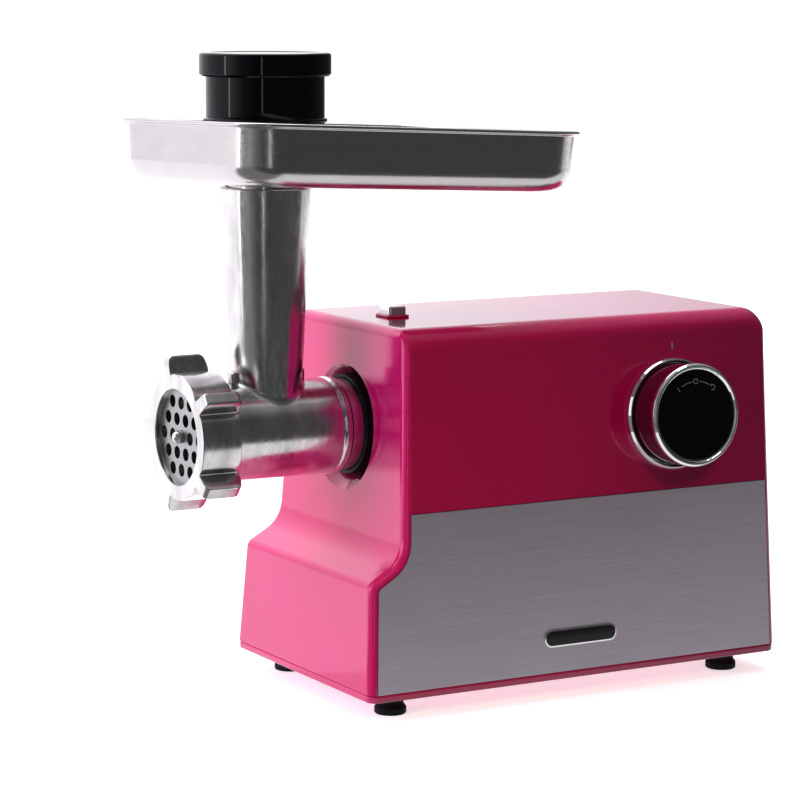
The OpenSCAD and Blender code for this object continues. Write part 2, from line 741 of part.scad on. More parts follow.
module feed_tray() color("silver") tray_place() difference() {
    union() {
        tray_pan(0, tray_foot);
        translate([0, 0, tray_d - lip_h]) linear_extrude(lip_h) polygon(tray_outline(0, lip_r));
        translate([0, 0, throat_up - throat_l]) cylinder(r = throat_r, h = throat_l);
    }
    tray_pan(tray_t, tray_foot + tray_t);
    translate([0, 0, throat_up - throat_l - over]) cylinder(r = throat_r - tray_t, h = throat_l + 3 * over);
}

handle_z = tube_top + 5;
flange_z = 363;
cap_h = 14.3;
cap_z = pusher_top - cap_h;
plunger_z = 218;
plunger_wall = 2;
plunger_floor = 3;
pot_wall = 2.5;

module pusher_handle() color("black") translate([tube_x, 0, 0]) difference() {
    union() {
        translate([0, 0, handle_z]) cylinder(r = handle_r, h = cap_z - handle_z);
        translate([0, 0, flange_z]) cylinder(r = handle_r + 1.6, h = 2.4);
    }
    translate([0, 0, handle_z + pot_wall]) cylinder(r = handle_r - pot_wall, h = cap_z);
    translate([0, 0, handle_z - over]) cylinder(r = plunger_r - plunger_wall, h = pot_wall + 2 * over);
}

module plunger() color("black") translate([tube_x, 0, plunger_z]) difference() {
    cylinder(r = plunger_r, h = handle_z - plunger_z);
    translate([0, 0, plunger_floor]) cylinder(r = plunger_r - plunger_wall, h = handle_z - plunger_z);
}

module pusher_cap() color("black") translate([tube_x, 0, cap_z]) rotate_extrude()
    polygon([[0, cap_h], [cap_r - 1.6, cap_h], [cap_r, cap_h - 1.5], [cap_r, 1], [cap_r - 0.8, 0],
             [handle_r - 2.7, 0], [handle_r - 2.7, -6], [handle_r - 4.5, -6],
             [handle_r - 4.5, cap_h - pot_wall], [0, cap_h - pot_wall]]);

housing_shell();
steel_panel_near();
steel_panel_far();
base_pan();
rubber_feet();
foot_screws();
base_screws();
badge();
index_mark();
knob_bezel();
button_bezel();
cord_gland();
gearbox_case();
gearbox_cover();
gearbox_screws();
shaft_bushes();
head_socket();
motor_stator();
field_windings();
motor_bracket();
motor_bearings();
brush_holders();
rotary_switch();
latch_guide();
motor_shaft();
armature();
commutator();
cooling_fan();
motor_pinion();
wheel_1();
pinion_shaft_1();
wheel_2();
pinion_shaft_2();
output_wheel();
output_shaft();
release_button();
latch_stem();
button_spring();
knob_body();
knob_ring();
knob_face();
knob_shaft();
lock_collar();
head_casting();
rear_bush();
auger();
knife();
cutting_plate();
ring_nut();
feed_tray();
pusher_handle();
plunger();
pusher_cap();
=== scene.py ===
"""Looks of the electric meat grinder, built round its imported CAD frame.

Meshes are authored in millimetres, in the frame of the CAD.
"""

import json
import math

import bmesh
import bpy
from mathutils import Matrix, Vector


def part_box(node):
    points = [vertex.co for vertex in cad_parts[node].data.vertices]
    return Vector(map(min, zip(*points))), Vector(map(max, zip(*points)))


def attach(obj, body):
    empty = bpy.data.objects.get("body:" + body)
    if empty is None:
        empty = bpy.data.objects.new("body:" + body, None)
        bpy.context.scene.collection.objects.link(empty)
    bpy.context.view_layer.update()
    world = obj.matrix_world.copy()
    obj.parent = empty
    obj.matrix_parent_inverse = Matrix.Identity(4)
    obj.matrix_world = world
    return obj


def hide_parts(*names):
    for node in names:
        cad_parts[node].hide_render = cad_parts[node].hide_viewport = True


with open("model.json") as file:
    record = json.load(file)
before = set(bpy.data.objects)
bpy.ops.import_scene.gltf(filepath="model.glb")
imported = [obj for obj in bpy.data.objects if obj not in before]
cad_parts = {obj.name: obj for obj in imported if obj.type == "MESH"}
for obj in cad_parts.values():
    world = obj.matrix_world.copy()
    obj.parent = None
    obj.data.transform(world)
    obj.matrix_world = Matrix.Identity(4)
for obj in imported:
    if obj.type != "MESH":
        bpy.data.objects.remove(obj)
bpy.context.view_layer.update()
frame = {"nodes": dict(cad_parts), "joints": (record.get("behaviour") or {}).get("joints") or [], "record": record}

MM = 0.001
TAU = 2 * math.pi


# ---------------------------------------------------------------- frame measures, in millimetres

def span(node):
    """Lowest and highest corner of a CAD node, in millimetres."""
    low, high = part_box(node)
    return low / MM, high / MM


JOINTS = {joint["name"]: joint for joint in frame["joints"]}
SHELL_LOW, SHELL_HIGH = span("housing_shell")
NUT_LOW, NUT_HIGH = span("ring_nut")
CAP_LOW, CAP_HIGH = span("pusher_cap")
AXIS_Z = JOINTS["drive_spin"]["pos_m"][2] / MM
TUBE_X = JOINTS["cap_turn"]["pos_m"][0] / MM

FRONT_X, REAR_X = SHELL_LOW.x, SHELL_HIGH.x
SEAM_Z, TOP_Z = SHELL_LOW.z, SHELL_HIGH.z
HALF_BASE, HALF_TOP = SHELL_HIGH.y, 72.5
DRAFT = math.atan((HALF_BASE - HALF_TOP) / (TOP_Z - SEAM_Z))
WALL = 3.0


# ---------------------------------------------------------------- outlines

def line_cross(a, b, c, d):
    """Point where the line through a and b meets the line through c and d."""
    r, s = b - a, d - c
    return a + r * ((c - a).cross(s) / r.cross(s))


def fillet(before, corner, after, radius, steps):
    """Points of an arc that rounds a corner."""
    u, v = (before - corner).normalized(), (after - corner).normalized()
    half = u.angle(v) / 2
    reach = min(radius / math.tan(half), 0.49 * (before - corner).length, 0.49 * (after - corner).length)
    radius = reach * math.tan(half)
    centre = corner + (u + v).normalized() * radius / math.sin(half)
    start, end = corner + u * reach - centre, corner + v * reach - centre
    a0 = math.atan2(start.y, start.x)
    sweep = (math.atan2(end.y, end.x) - a0 + math.pi) % TAU - math.pi
    return [centre + radius * Vector((math.cos(a0 + sweep * i / steps), math.sin(a0 + sweep * i / steps)))
            for i in range(steps + 1)]


def rounded(points, radii, steps=6):
    """Closed outline with a radius per corner; a single number rounds every corner."""
    points = [Vector(p) for p in points]
    if not hasattr(radii, "__len__"):
        radii = [radii] * len(points)
    out = []
    for i, (p, r) in enumerate(zip(points, radii)):
        out += fillet(points[i - 1], p, points[(i + 1) % len(points)], r, steps) if r else [p]
    return out


def rectangle(x0, x1, y0, y1, radius, steps=8):
    """Rounded rectangle as a closed outline."""
    return rounded([(x0, y0), (x1, y0), (x1, y1), (x0, y1)], radius, steps)


# ---------------------------------------------------------------- mesh building

def finish_mesh(name, bm, smooth_angle=32):
    """Turns a bmesh in millimetres into a smooth-shaded object in metres, with sharp edges kept."""
    bmesh.ops.remove_doubles(bm, verts=bm.verts, dist=1e-4)
    bmesh.ops.dissolve_degenerate(bm, edges=bm.edges, dist=1e-4)
    bmesh.ops.recalc_face_normals(bm, faces=bm.faces)
    bmesh.ops.scale(bm, vec=(MM, MM, MM), verts=bm.verts)
    mesh = bpy.data.meshes.new(name)
    bm.to_mesh(mesh)
    bm.free()
    obj = bpy.data.objects.new(name, mesh)
    bpy.context.scene.collection.objects.link(obj)
    shade(obj, smooth_angle)
    return obj


def shade(obj, smooth_angle):
    """Smooth shading with edges sharper than the angle kept."""
    bm = bmesh.new()
    bm.from_mesh(obj.data)
    for face in bm.faces:
        face.smooth = True
    for edge in bm.edges:
        edge.smooth = edge.is_manifold and edge.calc_face_angle(0) < math.radians(smooth_angle)
    bm.to_mesh(obj.data)
    bm.free()


def place(bm, matrix):
    """Moves a bmesh by a matrix."""
    bmesh.ops.transform(bm, matrix=matrix, verts=bm.verts)
    return bm


def joined(*parts):
    """One bmesh that holds several."""
    out = bmesh.new()
    for part in parts:
        mesh = bpy.data.meshes.new("part")
        part.to_mesh(mesh)
        part.free()
        out.from_mesh(mesh)
        bpy.data.meshes.remove(mesh)
    return out


def lathe(profile, segments=96, bm=None):
    """Solid of revolution about +Z from a closed outline of (radius, height) points."""
    bm = bm or bmesh.new()
    rings = []
    for i in range(segments):
        c, s = math.cos(TAU * i / segments), math.sin(TAU * i / segments)
        rings.append([bm.verts.new((p[0] * c, p[0] * s, p[1])) for p in profile])
    n = len(profile)
    for i in range(segments):
        a, b = rings[i], rings[(i + 1) % segments]
        for j in range(n):
            k = (j + 1) % n
            if profile[j][0] > 1e-6 or profile[k][0] > 1e-6:
                bm.faces.new((a[j], b[j], b[k], a[k]))
    return bm


def extruded(outline, height, edge=0.0, steps=3):
    """Plate with a rounded top and bottom edge, standing on z = 0."""
    bm = bmesh.new()
    count = len(outline)
    centre = sum((Vector(p) for p in outline), Vector((0, 0))) / count
    levels = []
    arcs = [math.pi / 2 * i / steps for i in range(steps + 1)] if edge else [math.pi / 2]
    for a in arcs:
        levels.append((edge * (1 - math.sin(a)), edge * (1 - math.cos(a))))
    for a in reversed(arcs):
        levels.append((edge * (1 - math.sin(a)), height - edge * (1 - math.cos(a))))
    rings = [[bm.verts.new((*inward(outline, i, d, centre), z)) for i in range(count)] for d, z in levels]
    for low, high in zip(rings, rings[1:]):
        for i in range(count):
            k = (i + 1) % count
            bm.faces.new((low[i], low[k], high[k], high[i]))
    bm.faces.new(list(reversed(rings[0])))
    bm.faces.new(rings[-1])
    return bm


def inward(outline, i, distance, centre):
    """Point i of a closed outline moved inwards by a distance."""
    p = Vector(outline[i])
    if not distance:
        return p
    before, after = Vector(outline[i - 1]), Vector(outline[(i + 1) % len(outline)])
    tangent = (after - before).normalized()
    normal = Vector((-tangent.y, tangent.x))
    if normal.dot(centre - p) < 0:
        normal = -normal
    return p + normal * distance


def box_mesh(low, high, edge=0.0):
    """Block with rounded edges."""
    bm = bmesh.new()
    bmesh.ops.create_cube(bm, size=1)
    low, high = Vector(low), Vector(high)
    for v in bm.verts:
        v.co = Vector((low[i] if v.co[i] < 0 else high[i] for i in range(3)))
    if edge:
        bmesh.ops.bevel(bm, geom=bm.edges[:], offset=edge, segments=3, profile=0.5, affect="EDGES")
    return bm


def combine(obj, cutter, operation="DIFFERENCE", smooth_angle=32):
    """Applies an exact boolean to an object; the other solid is a bmesh in millimetres or an object."""
    tool = cutter if isinstance(cutter, bpy.types.Object) else finish_mesh("tool", cutter)
    modifier = obj.modifiers.new("cut", "BOOLEAN")
    modifier.object, modifier.operation, modifier.solver = tool, operation, "EXACT"
    bpy.context.view_layer.update()
    result = obj.evaluated_get(bpy.context.evaluated_depsgraph_get())
    mesh = bpy.data.meshes.new_from_object(result)
    obj.modifiers.clear()
    obj.data = mesh
    bpy.data.objects.remove(tool)
    shade(obj, smooth_angle)
    return obj


def bevelled(obj, width, angle=40, segments=2):
    """Adds a small edge radius in millimetres."""
    modifier = obj.modifiers.new("edge", "BEVEL")
    modifier.width, modifier.segments = width * MM, segments
    modifier.limit_method, modifier.angle_limit = "ANGLE", math.radians(angle)
    modifier.harden_normals = True
    return obj


def even_normals(obj):
    """Shades flat faces flat beside their rounded edges."""
    modifier = obj.modifiers.new("normals", "WEIGHTED_NORMAL")
    modifier.keep_sharp = True
    return obj


def piece(obj, body, material, *nodes):
    """Gives a piece its body and its material, whose slot has the same name, and hides the CAD nodes it stands
    for.
    """
    obj.data.materials.clear()
    obj.data.materials.append(material)
    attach(obj, body)
    if nodes:
        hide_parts(*nodes)
    return obj


ALONG_X = Matrix.Rotation(math.pi / 2, 4, "Y")
BACKWARD = Matrix(((0, 0, 1, 0), (1, 0, 0, 0), (0, 1, 0, 0), (0, 0, 0, 1)))   # +Z to the rear, +X to far


def on_axis(x=0.0):
    """Places a lathe's +Z along +X on the head's axis, starting at x."""
    return Matrix.Translation((x, 0, AXIS_Z)) @ ALONG_X


# ---------------------------------------------------------------- materials

def new_material(name, **values):
    """New node material; one of that name that came with the CAD steps aside."""
    if name in bpy.data.materials:
        bpy.data.materials[name].name = name + "_cad"
    material = bpy.data.materials.new(name)
    material.use_nodes = True
    nodes, links = material.node_tree.nodes, material.node_tree.links
    shader = nodes["Principled BSDF"]
    for key, value in values.items():
        shader.inputs[key.replace("_", " ")].default_value = value
    return material, nodes, links, shader


def noise(nodes, links, scale, detail=3.0, stretch=(1, 1, 1), roughness=0.5):
    """Object-space noise, stretched along an axis."""
    place_node = nodes.new("ShaderNodeTexCoord")
    mapping = nodes.new("ShaderNodeMapping")
    mapping.inputs["Scale"].default_value = stretch
    texture = nodes.new("ShaderNodeTexNoise")
    texture.inputs["Scale"].default_value = scale
    texture.inputs["Detail"].default_value = detail
    texture.inputs["Roughness"].default_value = roughness
    links.new(place_node.outputs["Object"], mapping.inputs["Vector"])
    links.new(mapping.outputs["Vector"], texture.inputs["Vector"])
    return texture.outputs["Fac"]


def spread(nodes, links, source, low, high):
    """Maps the middle of a noise to a range of values."""
    node = nodes.new("ShaderNodeMapRange")
    node.inputs["From Min"].default_value, node.inputs["From Max"].default_value = 0.3, 0.7
    node.inputs["To Min"].default_value, node.inputs["To Max"].default_value = low, high
    links.new(source, node.inputs["Value"])
    return node.outputs["Result"]


def blend_colour(nodes, links, source, a, b):
    """Colour between a and b, by a noise."""
    node = nodes.new("ShaderNodeMix")
    node.data_type = "RGBA"
    factor, first, second = (node.inputs[i] for i in (0, 6, 7))
    first.default_value, second.default_value = (*a, 1), (*b, 1)
    links.new(spread(nodes, links, source, 0, 1), factor)
    return node.outputs[2]


def add_bump(nodes, links, shader, source, strength, distance):
    """Adds a bump on top of any bump that is already there."""
    node = nodes.new("ShaderNodeBump")
    node.inputs["Strength"].default_value = strength
    node.inputs["Distance"].default_value = distance
    previous = shader.inputs["Normal"].links
    if previous:
        links.new(previous[0].from_socket, node.inputs["Normal"])
    links.new(source, node.inputs["Height"])
    links.new(node.outputs["Normal"], shader.inputs["Normal"])


def gloss_plastic(name, colour, roughness, coat=0.6, ripple=0.03, specular=0.5):
    """Moulded gloss plastic: a clear coat, faint flow ripple and slight shade variation."""
    material, nodes, links, shader = new_material(
        name, Coat_Weight=coat, Coat_Roughness=0.04, Specular_IOR_Level=specular)
    shade_noise = noise(nodes, links, 9, 2)
    darker = tuple(c * 0.94 for c in colour)
    links.new(blend_colour(nodes, links, shade_noise, colour, darker), shader.inputs["Base Color"])
    links.new(spread(nodes, links, noise(nodes, links, 260, 2), roughness * 0.85, roughness * 1.2),
              shader.inputs["Roughness"])
    add_bump(nodes, links, shader, noise(nodes, links, 45, 1.5), ripple, 0.0006)
    return material


def matt_plastic(name, colour, roughness, grain=420, depth=0.25):
    """Plastic or rubber with a fine moulded grain."""
    material, nodes, links, shader = new_material(name)
    links.new(blend_colour(nodes, links, noise(nodes, links, 30), colour, tuple(c * 1.35 for c in colour)),
              shader.inputs["Base Color"])
    links.new(spread(nodes, links, noise(nodes, links, 90), roughness - 0.06, roughness + 0.06),
              shader.inputs["Roughness"])
    add_bump(nodes, links, shader, noise(nodes, links, grain, 4), depth, 0.0002)
    return material


def metal(name, colour, roughness, shade_scale=40, shade_drop=0.9, grain=(1, 1, 1), grain_scale=300,
          depth=0.05, variation=0.25):
    """Bare metal with a grain that can be stretched along an axis; no bump at depth 0."""
    material, nodes, links, shader = new_material(name, Metallic=1.0)
    mottle = noise(nodes, links, shade_scale, 4, grain)
    links.new(blend_colour(nodes, links, mottle, colour, tuple(c * shade_drop for c in colour)),
              shader.inputs["Base Color"])
    links.new(spread(nodes, links, noise(nodes, links, grain_scale, 4, grain), roughness * (1 - variation),
                     roughness * (1 + variation)), shader.inputs["Roughness"])
    if depth:
        add_bump(nodes, links, shader, noise(nodes, links, grain_scale, 5, grain), depth, 0.0001)
    return material


def brushed(name, colour, roughness, lines, axis):
    """Sheet metal brushed along an axis, whose highlights spread across the brush lines."""
    along = tuple(0.012 if a == axis else 1 for a in "XYZ")
    material, nodes, links, shader = new_material(name, Metallic=1.0, Anisotropic=0.75)
    links.new(blend_colour(nodes, links, noise(nodes, links, lines, 2, along), colour,
                           tuple(c * 0.9 for c in colour)), shader.inputs["Base Color"])
    links.new(spread(nodes, links, noise(nodes, links, 9, 2), roughness * 0.92, roughness * 1.1),
              shader.inputs["Roughness"])
    tangent = nodes.new("ShaderNodeTangent")
    tangent.direction_type, tangent.axis = "RADIAL", axis
    links.new(tangent.outputs["Tangent"], shader.inputs["Tangent"])
    add_bump(nodes, links, shader, noise(nodes, links, lines, 3, along), 0.02, 0.0001)
    return material


MATERIALS = {m.name: m for m in [
    gloss_plastic("pink_plastic", (0.80, 0.008, 0.205), 0.16, coat=1.0, specular=0.8),
    # knob_wine: dark crimson base colour, a painted reflection of the housing's crimson side in the knob's skirt
    gloss_plastic("knob_wine", (0.15, 0.005, 0.04), 0.12),
    gloss_plastic("black_gloss", (0.0025, 0.003, 0.007), 0.07, coat=0.5, ripple=0.02, specular=0.25),
    gloss_plastic("badge_black", (0.01, 0.01, 0.012), 0.15),
    matt_plastic("black_plastic", (0.012, 0.012, 0.013), 0.42),
    matt_plastic("rubber", (0.014, 0.013, 0.014), 0.7),
    matt_plastic("mark_white", (0.40, 0.40, 0.50), 0.5),
    matt_plastic("gear_nylon", (0.62, 0.6, 0.53), 0.45),
    # brushed_steel: grey steel whose slight magenta tint is painted reflection of the pink around it
    brushed("brushed_steel", (0.68, 0.62, 0.68), 0.42, 1500, "X"),
    metal("chrome", (0.86, 0.86, 0.88), 0.05, depth=0.01),
    metal("cast_aluminium", (0.82, 0.81, 0.81), 0.21, 70, 0.74, (1, 1, 0.35), 420, 0.0, 0.3),
    metal("plate_steel", (0.50, 0.50, 0.50), 0.34, 50, 0.92, (0.3, 1, 1), 500, 0.02),
    metal("tray_steel", (0.66, 0.645, 0.645), 0.22, 12, 0.95, (0.5, 5, 9), 90, 0.004),
    metal("fastener_steel", (0.55, 0.55, 0.56), 0.3),
    metal("motor_steel", (0.42, 0.42, 0.44), 0.35),
    metal("gear_case", (0.56, 0.56, 0.58), 0.5, 70, 0.85, (1, 1, 1), 350, 0.4),
    metal("bronze", (0.56, 0.36, 0.16), 0.35),
    metal("copper", (0.62, 0.26, 0.12), 0.38, 30, 0.8, (1, 20, 20), 80, 0.5),
]}


def dress_cad_nodes():
    """Gives every CAD node its slot's material."""
    slot_of = {s["node"]: s["material_slot"] for s in frame["record"]["subparts"]}
    for name, obj in frame["nodes"].items():
        obj.data.materials.clear()
        obj.data.materials.append(MATERIALS[slot_of[name]])


# ---------------------------------------------------------------- housing

CHIN = Vector((FRONT_X + 3.5, SEAM_Z + 67))
WAIST = Vector((FRONT_X + 26.8, SEAM_Z + 80.6))
BROW = Vector((FRONT_X + 33.6, TOP_Z))
FRONT_EDGE, SIDE_EDGE, REAR_EDGE, REAR_CORNER = 6.0, 12.5, 6.0, 13.0
ARC = 8


def half_width(z):
    """Half width of the housing at a height."""
    return HALF_BASE - (HALF_BASE - HALF_TOP) * (z - SEAM_Z) / (TOP_Z - SEAM_Z)


def shifted(a, b, distance):
    """Line a-b moved to its right by a distance."""
    t = (b - a).normalized()
    n = Vector((t.y, -t.x)) * distance
    return a + n, b + n


def side_profile(front, top, rear, turn):
    """Side view inset by its own distance on each edge, as (x, z, top share, rear share)."""
    foot, heel = Vector((FRONT_X, SEAM_Z)), Vector((REAR_X, SEAM_Z))
    rear_top = Vector((REAR_X, TOP_Z))
    chin, slant, face = shifted(foot, CHIN, front), shifted(CHIN, WAIST, front), shifted(WAIST, BROW, front)
    lid, back = shifted(BROW, rear_top, top), shifted(rear_top, heel, rear)
    ground = Vector((0, SEAM_Z)), Vector((1, SEAM_Z))
    corners = [line_cross(*ground, *chin), line_cross(*chin, *slant), line_cross(*slant, *face),
               line_cross(*face, *lid), line_cross(*lid, *back), line_cross(*back, *ground)]
    radii = [6.5 - 2.5 * turn, 20 + 6 * turn, 6.5 + 1.5 * turn, REAR_CORNER - 5 * turn]
    out = [(*corners[0], 0.0, 0.0)]
    for i, (radius, shares) in enumerate(zip(radii, [((0, 0), (0, 0)), ((0, 0), (0, 0)), ((0, 0), (1, 0)),
                                                    ((1, 0), (0, 1))])):
        for j, p in enumerate(fillet(corners[i], corners[i + 1], corners[i + 2], radius, ARC)):
            t = j / ARC
            out.append((p.x, p.y, *(shares[0][k] * (1 - t) + shares[1][k] * t for k in (0, 1))))
    out.append((*corners[5], 0.0, 1.0))
    return out


def housing_rings(inset, edges, steps):
    """Rings of the housing's surface from its near side to its far side."""
    front_r, side_r, rear_r = edges
    half = []
    for i in range(steps + 1):
        phi = math.pi / 2 * (1 - i / steps)
        turn = 1 - math.cos(phi)
        ring = []
        insets = (inset + radius * turn for radius in edges)
        for x, z, top, rear in side_profile(*insets, turn):
            r = front_r * (1 - top) * (1 - rear) + side_r * top + rear_r * rear
            ring.append(Vector((x, -(half_width(z) - inset - r * (1 - math.sin(phi))), z)))
        half.append(ring)
    return half + [[Vector((p.x, -p.y, p.z)) for p in ring] for ring in reversed(half)]


def skin(rings):
    """Closed-sided, open-bottomed skin through the rings."""
    bm = bmesh.new()
    made = [[bm.verts.new(p) for p in ring] for ring in rings]
    for a, b in zip(made, made[1:]):
        for i in range(len(a) - 1):
            bm.faces.new((a[i], a[i + 1], b[i + 1], b[i]))
    bm.faces.new(made[0])
    bm.faces.new(list(reversed(made[-1])))
    return bm


def panel_outline(margin, top, short):
    """Side view of the steel panel."""
    ring = [Vector((x, z)) for x, z, *_ in side_profile(margin, margin, margin, 0.8)]
    front = [p for p in ring if p.y < top and p.x < 0]
    high = next(p for p in ring if p.y >= top)
    edge = front[-1] + (high - front[-1]) * ((top - front[-1].y) / (high.y - front[-1].y))
    return [Vector((p.x, p.y)) for p in front] + [edge, Vector((REAR_X - short, top)),
                                                  Vector((REAR_X - short, SEAM_Z))]


def wall_frame(side, x=0.0, z=SEAM_Z):
    """Matrix at a point of a side wall: +X along it, +Y up its slope and +Z out of it."""
    up = Vector((0, -side * math.sin(DRAFT), math.cos(DRAFT)))
    out = Vector((0, side * math.cos(DRAFT), math.sin(DRAFT)))
    matrix = Matrix.Identity(4)
    for row in range(3):
        matrix[row][0], matrix[row][1], matrix[row][2] = (1, 0, 0)[row], up[row], out[row]
        matrix[row][3] = (x, side * half_width(z), z)[row]
    return matrix


def side_plate(outline, side, depth, height, edge=0.0):
    """Plate on a side wall with its outline in (x, z), from depth below the wall to height above that."""
    slope = [Vector((p.x, (p.y - SEAM_Z) / math.cos(DRAFT))) for p in outline]
    bm = extruded(slope, height, edge)
    return place(place(bm, Matrix.Translation((0, 0, -depth))), wall_frame(side))


PANEL_TOP = span("steel_panel_near")[1].z
PANEL_SHORT = REAR_X - span("steel_panel_near")[1].x
PANEL_MARGIN = 5.0
PANEL_DEPTH = 1.0
PANEL_GAP = 0.35
KNOB_PLACE = Vector(JOINTS["knob_turn"]["pos_m"]) / MM
BUTTON_X = (span("release_button")[0].x + span("release_button")[1].x) / 2
GLAND_LOW, GLAND_HIGH = span("cord_gland")
FACE_X = -122.5
VENTS, VENT_LOW, VENT_PITCH = 8, 93.5, 7


def make_housing():
    """Moulded shell, open below, with its socket recess, panel recesses, holes and rear vents."""
    outer = skin(housing_rings(0, (FRONT_EDGE, SIDE_EDGE, REAR_EDGE), 8))
    bmesh.ops.holes_fill(outer, edges=[e for e in outer.edges if e.is_boundary])
    obj = finish_mesh("housing", outer, 40)
    cavity = skin(housing_rings(WALL, (4, 9.5, 4), 3))
    low = [v for v in cavity.verts if abs(v.co.z - SEAM_Z) < 1e-3]
    for v in low:
        v.co.z -= 1
    bmesh.ops.holes_fill(cavity, edges=[e for e in cavity.edges if e.is_boundary])
    cavity = finish_mesh("cavity", cavity)
    combine(cavity, place(lathe([(0, 0), (46.5, 0), (36.2, 15), (0, 15)]), on_axis(FACE_X - 4)))
    combine(obj, cavity)
    recess = [(0, -6), (50, -6), (43.4 - 0.94 * 1.5, 1.5), (33.2, 10.8), (32.3, 11.2), (32, 11.8),
              (32, 20), (0, 20)]
    combine(obj, place(lathe(recess, 128), on_axis(FACE_X - 4)))
    for side in (-1, 1):
        hole = panel_outline(PANEL_MARGIN - PANEL_GAP, PANEL_TOP + PANEL_GAP, PANEL_SHORT - PANEL_GAP)
        hole[0], hole[-1] = hole[0] - Vector((0, 2)), hole[-1] - Vector((0, 2))
        combine(obj, side_plate(hole, side, PANEL_DEPTH + 0.1, 6))
    combine(obj, place(lathe([(0, -8), (6.2, -8), (6.2, 4), (0, 4)], 48), knob_frame()))
    button_hole = extruded(rectangle(-6.8, 6.8, -8.6, 8.6, 2.2), 12)
    combine(obj, place(button_hole, Matrix.Translation((BUTTON_X, 0, TOP_Z - 8))))
    gland_z = (GLAND_LOW.z + GLAND_HIGH.z) / 2
    gland = lathe([(0, -6), (7, -6), (7, 3), (0, 3)], 48)
    combine(obj, place(gland, Matrix.Translation((REAR_X, 0, gland_z)) @ ALONG_X))
    vents = [place(extruded(rectangle(-32, 32, -1.5, 1.5, 1.45, 5), 8),
                   Matrix.Translation((REAR_X - 5, 0, VENT_LOW + VENT_PITCH * i)) @ BACKWARD)
             for i in range(VENTS)]
    combine(obj, joined(*vents), smooth_angle=40)
    return piece(even_normals(bevelled(obj, 0.35, 50)), "housing", MATERIALS["pink_plastic"], "housing_shell")


def knob_frame():
    """Matrix on the knob's axis at the side wall: +Y up the wall and +Z out of it."""
    return Matrix.Translation(KNOB_PLACE) @ wall_frame(-1).to_3x3().to_4x4()


def make_panels():
    """Brushed steel sheets on the two side walls."""
    for side, node in ((-1, "steel_panel_near"), (1, "steel_panel_far")):
        outline = panel_outline(PANEL_MARGIN, PANEL_TOP, PANEL_SHORT)
        plate = side_plate(outline, side, PANEL_DEPTH, PANEL_DEPTH, 0.22)
        obj = finish_mesh(node.replace("steel_", "") + "_sheet", plate)
        piece(even_normals(obj), "housing", MATERIALS["brushed_steel"], node)


def make_badge():
    """Plain generic badge: a black bar in a thin bright rim, with no lettering."""
    low, high = span("badge")
    centre_z, half_l, half_h = (low.z + high.z) / 2, (high.x - low.x) / 2, (high.z - low.z) / 2
    frame_at = wall_frame(-1, 0, centre_z)
    bar = place(extruded(rectangle(-half_l + 1, half_l - 1, 1 - half_h, half_h - 1, half_h - 1.1), 0.6, 0.2),
                frame_at)
    piece(even_normals(finish_mesh("badge_bar", bar)), "housing", MATERIALS["badge_black"], "badge")
    outline = rectangle(-half_l, half_l, -half_h, half_h, half_h - 0.1)
    rim = finish_mesh("badge_rim", place(extruded(outline, 0.75, 0.25), frame_at))
    combine(rim, place(extruded(rectangle(1 - half_l, half_l - 1, 1 - half_h, half_h - 1, half_h - 1.1), 3),
                       frame_at @ Matrix.Translation((0, 0, -1))))
    piece(even_normals(rim), "housing", MATERIALS["chrome"])


def make_base():
    """Base pan with a rounded lower edge, vents and screw recesses."""
    low, high = span("base_pan")
    outline = rectangle(low.x, high.x, low.y, high.y, 7)
    pan = extruded(outline, high.z - low.z - 0.25, 1.2)
    obj = finish_mesh("base", place(pan, Matrix.Translation((0, 0, low.z))))
    slots = [place(extruded(rectangle(-1.5, 1.5, -40, 40, 1.45, 4), 20),
                   Matrix.Translation((9 * i, 0, low.z - 5))) for i in range(-5, 6)]
    combine(obj, joined(*slots), smooth_angle=40)
    screws = span("base_screws")
    wells = [place(lathe([(0, 0), (4.2, 0), (4.2, 3), (0, 3)], 40),
                   Matrix.Translation((sx * (screws[1].x - 4), sy * (screws[1].y - 4), low.z - 1)))
             for sx in (-1, 1) for sy in (-1, 1)]
    combine(obj, joined(*wells), smooth_angle=40)
    piece(even_normals(obj), "housing", MATERIALS["pink_plastic"], "base_pan")


def make_feet():
    """Rubber feet with rounded shoulders and a well for the screw."""
    high = span("rubber_feet")[1]
    foot_r = 10
    profile = rounded([(2.2, high.z), (8.2, high.z), (8.2, 6.4), (9.9, 4.0), (9.9, 0.8), (9.1, 0), (4.4, 0),
                       (4.4, 4), (2.2, 4)], [0, 0.3, 1.0, 0.9, 0.5, 0.5, 0.4, 0.3, 0], 4)
    feet = [place(lathe(profile, 72), Matrix.Translation((sx * (high.x - foot_r), sy * (high.y - foot_r), 0)))
            for sx in (-1, 1) for sy in (-1, 1)]
    piece(even_normals(finish_mesh("feet", joined(*feet))), "housing", MATERIALS["rubber"], "rubber_feet")


# ---------------------------------------------------------------- controls

KNOB_HEIGHT = 27.5


